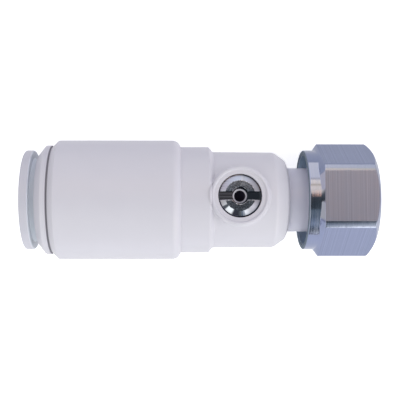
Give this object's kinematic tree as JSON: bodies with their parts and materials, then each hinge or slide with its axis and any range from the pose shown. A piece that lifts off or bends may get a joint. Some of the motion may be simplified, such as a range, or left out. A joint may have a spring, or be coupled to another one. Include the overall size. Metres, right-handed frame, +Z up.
{
  "type": "service valve",
  "caption": "In-line service valve: push-fit pipe socket, quarter-turn ball with a slotted stem, and a loose hexagon nut for a threaded tap tail.",
  "frame": {"origin": "the pipe stop on the flow line, where the end of a pushed-in pipe comes to rest", "axes": "+X along the flow line from the pipe socket to the nut; +Z up the stem, out of the screwdriver slot"},
  "size_m": [0.0823, 0.0284, 0.0284],
  "materials": {
    "white_moulding": "satin",
    "collar_plastic": "satin",
    "tail_plastic": "satin",
    "seat_plastic": "waxy",
    "slip_plastic": "waxy",
    "plated_nut": "polished, turned",
    "plated_stem": "polished",
    "tooth_steel": "bright",
    "seal_rubber": "matt",
    "washer_rubber": "matt"
  },
  "bodies": {
    "valve": {"valve_body": "white_moulding", "end_ring": "white_moulding", "spacer_ring": "white_moulding", "pipe_o_ring": "seal_rubber", "inlet_seat": "seat_plastic", "inlet_seat_o_ring": "seal_rubber", "outlet_seat": "seat_plastic", "thrust_washer": "seat_plastic", "tail": "tail_plastic", "tail_o_ring": "seal_rubber", "sealing_washer": "washer_rubber"},
    "grip_collar": {"collet": "collar_plastic", "collet_teeth": "tooth_steel"},
    "spindle": {"stem": "plated_stem", "stem_o_ring": "seal_rubber", "ball": "plated_stem"},
    "slip": {"slip_ring": "slip_plastic"},
    "nut": {"union_nut": "plated_nut"}
  },
  "joints": [
    {"name": "collar_push", "type": "slide", "parent": "valve", "child": "grip_collar", "axis": [1, 0, 0], "range_m": [0, 0.0012]},
    {"name": "stem_turn", "type": "hinge", "parent": "valve", "child": "spindle", "pos_m": [0.02027, 0, 0], "axis": [0, 0, -1], "range_deg": [0, 90]},
    {"name": "nut_slide", "type": "slide", "parent": "valve", "child": "slip", "axis": [-1, 0, 0], "range_m": [0, 0.0044]},
    {"name": "nut_spin", "type": "hinge", "parent": "slip", "child": "nut", "pos_m": [0.0486, 0, 0], "axis": [1, 0, 0], "continuous": true}
  ]
}
